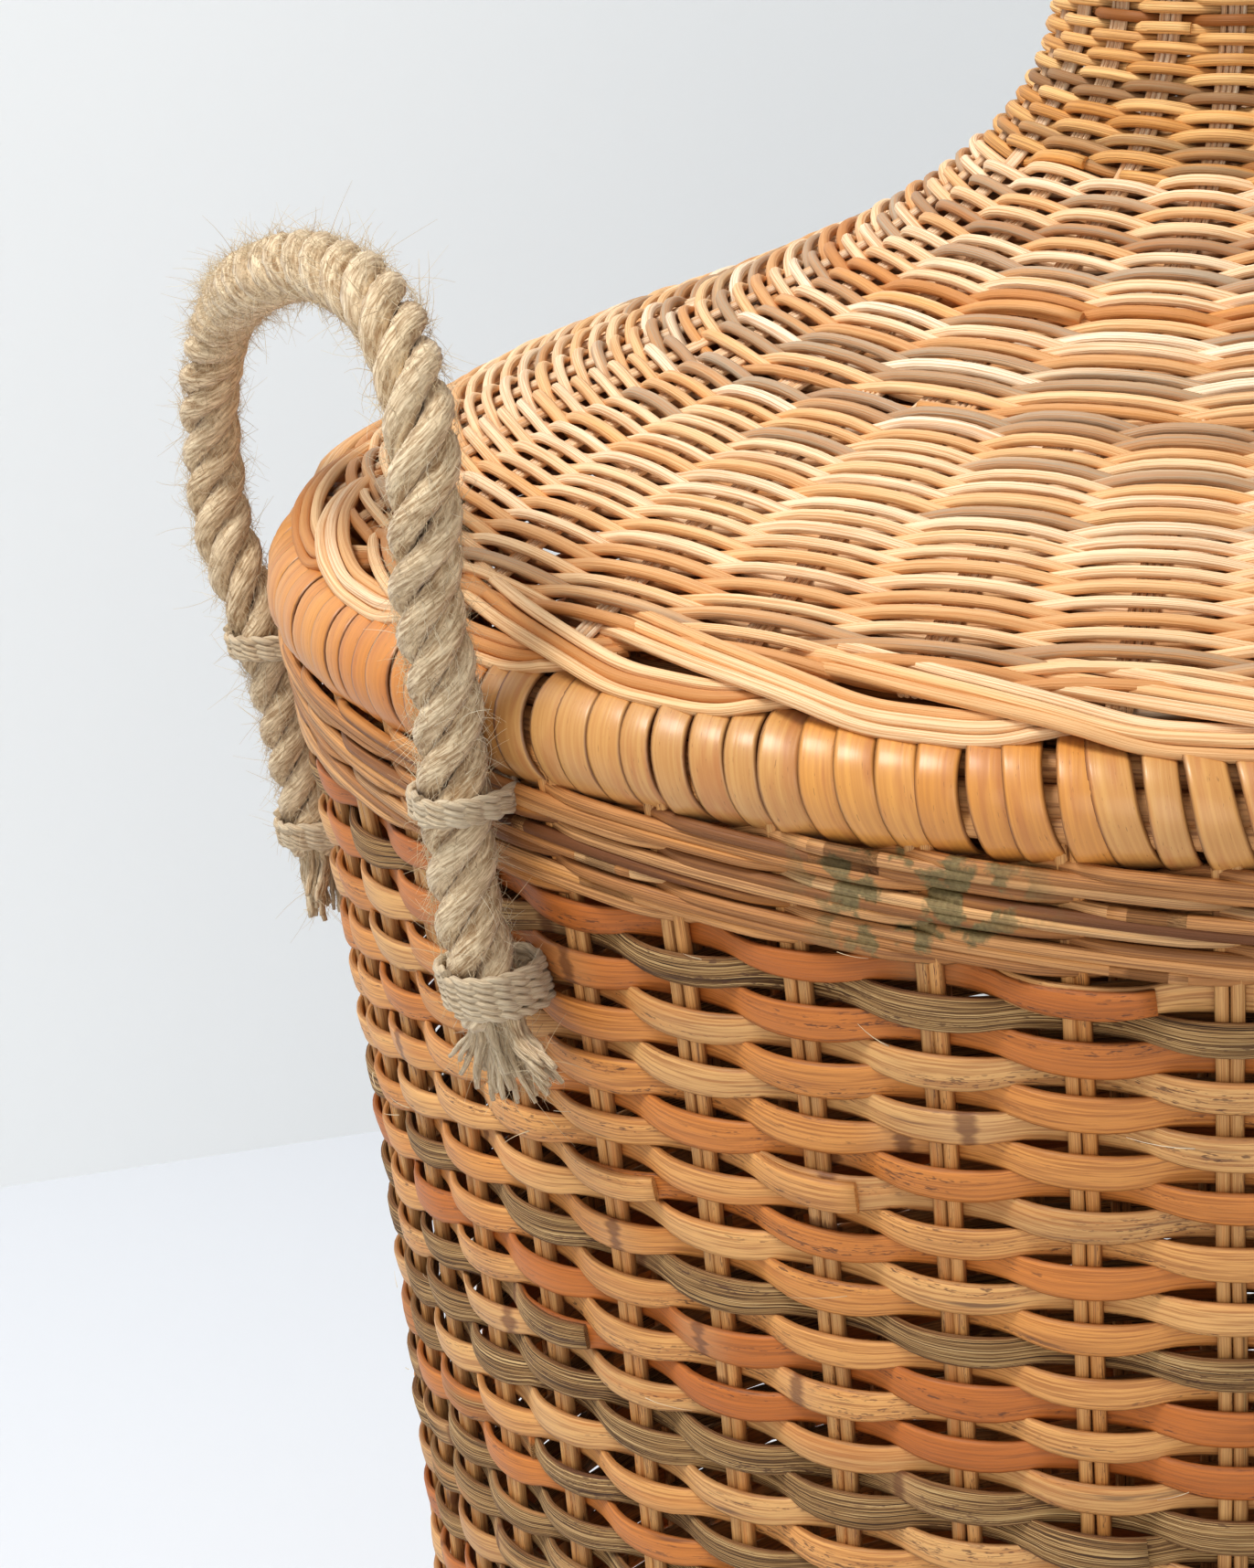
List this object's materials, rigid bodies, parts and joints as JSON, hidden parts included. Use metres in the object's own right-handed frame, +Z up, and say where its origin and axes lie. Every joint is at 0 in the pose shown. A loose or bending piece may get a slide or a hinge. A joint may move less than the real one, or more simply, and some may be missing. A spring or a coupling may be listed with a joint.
{
  "type": "laundry basket",
  "caption": "Round woven rattan laundry basket with a peel-bound rim, a bell-shaped lift-off lid with a waisted neck, and lashed standing rope handles.",
  "frame": {"origin": "middle of the underside of the foot border", "axes": "+Z up, the rope handles stand at -X and +X, +Y points to the back"},
  "size_m": [0.5268, 0.4992, 0.6955],
  "materials": {
    "flat_splint": "satin",
    "round_core_brown": "satin",
    "round_core_pale": "satin",
    "peel_binding": "gloss",
    "hoop_wood": "matte",
    "jute_rope": "matte",
    "jute_twine": "matte"
  },
  "bodies": {
    "basket": {"foot_border": "round_core_brown", "base_weave": "flat_splint", "lower_waling": "round_core_brown", "wall_course_lower": "flat_splint", "wall_course_middle": "flat_splint", "wall_course_upper": "flat_splint", "upper_waling": "round_core_brown", "rim_wrap": "peel_binding", "rim_hoop_outer": "hoop_wood", "rim_hoop_inner": "hoop_wood", "rope_leg_left_near": "jute_rope", "lashing_left_near_upper": "jute_twine", "lashing_left_near_lower": "jute_twine", "frayed_end_left_near": "jute_rope", "rope_leg_left_far": "jute_rope", "lashing_left_far_upper": "jute_twine", "lashing_left_far_lower": "jute_twine", "frayed_end_left_far": "jute_rope", "rope_leg_right_near": "jute_rope", "lashing_right_near_upper": "jute_twine", "lashing_right_near_lower": "jute_twine", "frayed_end_right_near": "jute_rope", "rope_leg_right_far": "jute_rope", "lashing_right_far_upper": "jute_twine", "lashing_right_far_lower": "jute_twine", "frayed_end_right_far": "jute_rope"},
    "lid": {"lid_border": "round_core_pale", "lid_collar": "round_core_brown", "lid_crown_outer": "round_core_pale", "lid_crown_inner": "round_core_pale", "lid_neck": "round_core_pale", "lid_knob_flare": "round_core_pale", "lid_knob_cap": "round_core_pale"},
    "handle_left": {"rope_loop_left": "jute_rope"},
    "handle_right": {"rope_loop_right": "jute_rope"}
  },
  "joints": [
    {"name": "lid_lift", "type": "slide", "parent": "basket", "child": "lid", "axis": [0, 0, 1], "range_m": [0, 0.3]},
    {"name": "handle_left_bend", "type": "hinge", "parent": "basket", "child": "handle_left", "pos_m": [-0.2374, -0.105, 0.4885], "axis": [0.0396, -0.9992, 0], "range_deg": [-15, 65]},
    {"name": "handle_right_bend", "type": "hinge", "parent": "basket", "child": "handle_right", "pos_m": [0.2374, 0.105, 0.4885], "axis": [-0.0396, 0.9992, 0], "range_deg": [-15, 65]}
  ]
}
